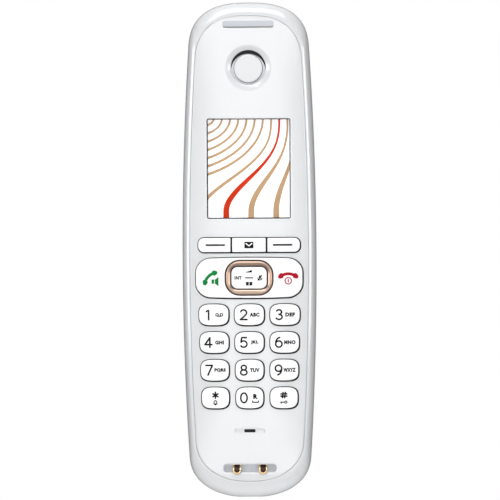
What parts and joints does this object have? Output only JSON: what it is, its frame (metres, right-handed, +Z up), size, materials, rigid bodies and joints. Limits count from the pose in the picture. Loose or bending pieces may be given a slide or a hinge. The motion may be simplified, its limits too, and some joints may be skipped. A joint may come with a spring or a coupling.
{
  "type": "cordless phone handset",
  "caption": "Slim white cordless telephone handset with rounded ends, a display, digit keys, a talk and end rocker, a metal navigation ring and charging contacts.",
  "frame": {"origin": "middle of the flat at the bottom end, where the handset stands in a charger", "axes": "+Z up along the handset towards the earpiece, -Y out of the face with the keys, +X to the right seen from the front"},
  "size_m": [0.0506, 0.0239, 0.187],
  "materials": {
    "casing": "glossy white",
    "window": "clear polished",
    "lcd": "smooth printed picture",
    "bezel": "matte grey",
    "ear_disc": "satin white",
    "notch": "satin grey",
    "keycap": "satin white with printed signs",
    "ring": "polished rose gold plating",
    "rubber": "matte",
    "board": "satin green",
    "steel": "fine satin",
    "gold": "gold plated",
    "cell": "plain printed sleeve"
  },
  "bodies": {
    "handset": {"rear_shell": "casing", "front_shell": "casing", "display_window": "window", "lcd_panel": "lcd", "lcd_frame": "bezel", "battery_tray": "bezel", "contact_carrier": "bezel", "earpiece_cap": "ear_disc", "slot_insert": "notch", "keypad_mat": "rubber", "microphone_boot": "rubber", "speaker_seal": "rubber", "main_board": "board", "dome_sheet": "steel", "rf_shield": "steel", "earpiece_receiver": "steel", "microphone": "steel", "handsfree_speaker": "steel", "spring_left": "steel", "spring_right": "steel", "plate_left": "steel", "plate_right": "steel", "board_screw_1": "steel", "board_screw_2": "steel", "board_screw_3": "steel", "board_screw_4": "steel", "contact_left": "gold", "contact_right": "gold", "antenna": "gold", "cell_left": "cell", "cell_right": "cell"},
    "talk_end": {"talk_end_key": "keycap"},
    "ring_pad": {"nav_pad": "rubber"},
    "ring": {"nav_ring": "ring"},
    "ring_centre": {"nav_cap": "keycap"},
    "cover": {"battery_cover": "casing"},
    "soft_key_left_body": {"soft_key_left": "keycap"},
    "message_key_body": {"message_key": "keycap"},
    "soft_key_right_body": {"soft_key_right": "keycap"},
    "key_1_body": {"key_1": "keycap"},
    "key_2_body": {"key_2": "keycap"},
    "key_3_body": {"key_3": "keycap"},
    "key_4_body": {"key_4": "keycap"},
    "key_5_body": {"key_5": "keycap"},
    "key_6_body": {"key_6": "keycap"},
    "key_7_body": {"key_7": "keycap"},
    "key_8_body": {"key_8": "keycap"},
    "key_9_body": {"key_9": "keycap"},
    "key_star_body": {"key_star": "keycap"},
    "key_0_body": {"key_0": "keycap"},
    "key_hash_body": {"key_hash": "keycap"}
  },
  "joints": [
    {"name": "cover_pull", "type": "slide", "parent": "handset", "child": "cover", "axis": [0, 1, 0], "range_m": [0, 0.012]},
    {"name": "nav_centre_press", "type": "slide", "parent": "ring", "child": "ring_centre", "axis": [0, 1, 0], "range_m": [0, 0.0004], "stiffness_N_per_m": 3000},
    {"name": "nav_left_right", "type": "hinge", "parent": "ring_pad", "child": "ring", "pos_m": [0, -0.008, 0.0831], "axis": [0, 0, 1], "range_deg": [-2, 2], "stiffness_Nm_per_rad": 1.2},
    {"name": "nav_up_down", "type": "hinge", "parent": "handset", "child": "ring_pad", "pos_m": [0, -0.008, 0.0831], "axis": [1, 0, 0], "range_deg": [-2, 2], "stiffness_Nm_per_rad": 1.2},
    {"name": "end_talk_rock", "type": "hinge", "parent": "handset", "child": "talk_end", "pos_m": [0, -0.008, 0.0831], "axis": [0, 0, 1], "range_deg": [-1.2, 1.2], "stiffness_Nm_per_rad": 1.5},
    {"name": "message_key_press", "type": "slide", "parent": "handset", "child": "message_key_body", "axis": [0, 1, 0], "range_m": [0, 0.00045], "stiffness_N_per_m": 3000},
    {"name": "soft_key_left_press", "type": "slide", "parent": "handset", "child": "soft_key_left_body", "axis": [0, 1, 0], "range_m": [0, 0.00045], "stiffness_N_per_m": 3000},
    {"name": "soft_key_right_press", "type": "slide", "parent": "handset", "child": "soft_key_right_body", "axis": [0, 1, 0], "range_m": [0, 0.00045], "stiffness_N_per_m": 3000},
    {"name": "number_key_1_press", "type": "slide", "parent": "handset", "child": "key_1_body", "axis": [0, 1, 0], "range_m": [0, 0.00045], "stiffness_N_per_m": 3000},
    {"name": "number_key_2_press", "type": "slide", "parent": "handset", "child": "key_2_body", "axis": [0, 1, 0], "range_m": [0, 0.00045], "stiffness_N_per_m": 3000},
    {"name": "number_key_3_press", "type": "slide", "parent": "handset", "child": "key_3_body", "axis": [0, 1, 0], "range_m": [0, 0.00045], "stiffness_N_per_m": 3000},
    {"name": "number_key_4_press", "type": "slide", "parent": "handset", "child": "key_4_body", "axis": [0, 1, 0], "range_m": [0, 0.00045], "stiffness_N_per_m": 3000},
    {"name": "number_key_5_press", "type": "slide", "parent": "handset", "child": "key_5_body", "axis": [0, 1, 0], "range_m": [0, 0.00045], "stiffness_N_per_m": 3000},
    {"name": "number_key_6_press", "type": "slide", "parent": "handset", "child": "key_6_body", "axis": [0, 1, 0], "range_m": [0, 0.00045], "stiffness_N_per_m": 3000},
    {"name": "number_key_7_press", "type": "slide", "parent": "handset", "child": "key_7_body", "axis": [0, 1, 0], "range_m": [0, 0.00045], "stiffness_N_per_m": 3000},
    {"name": "number_key_8_press", "type": "slide", "parent": "handset", "child": "key_8_body", "axis": [0, 1, 0], "range_m": [0, 0.00045], "stiffness_N_per_m": 3000},
    {"name": "number_key_9_press", "type": "slide", "parent": "handset", "child": "key_9_body", "axis": [0, 1, 0], "range_m": [0, 0.00045], "stiffness_N_per_m": 3000},
    {"name": "number_key_star_press", "type": "slide", "parent": "handset", "child": "key_star_body", "axis": [0, 1, 0], "range_m": [0, 0.00045], "stiffness_N_per_m": 3000},
    {"name": "number_key_0_press", "type": "slide", "parent": "handset", "child": "key_0_body", "axis": [0, 1, 0], "range_m": [0, 0.00045], "stiffness_N_per_m": 3000},
    {"name": "number_key_hash_press", "type": "slide", "parent": "handset", "child": "key_hash_body", "axis": [0, 1, 0], "range_m": [0, 0.00045], "stiffness_N_per_m": 3000}
  ]
}
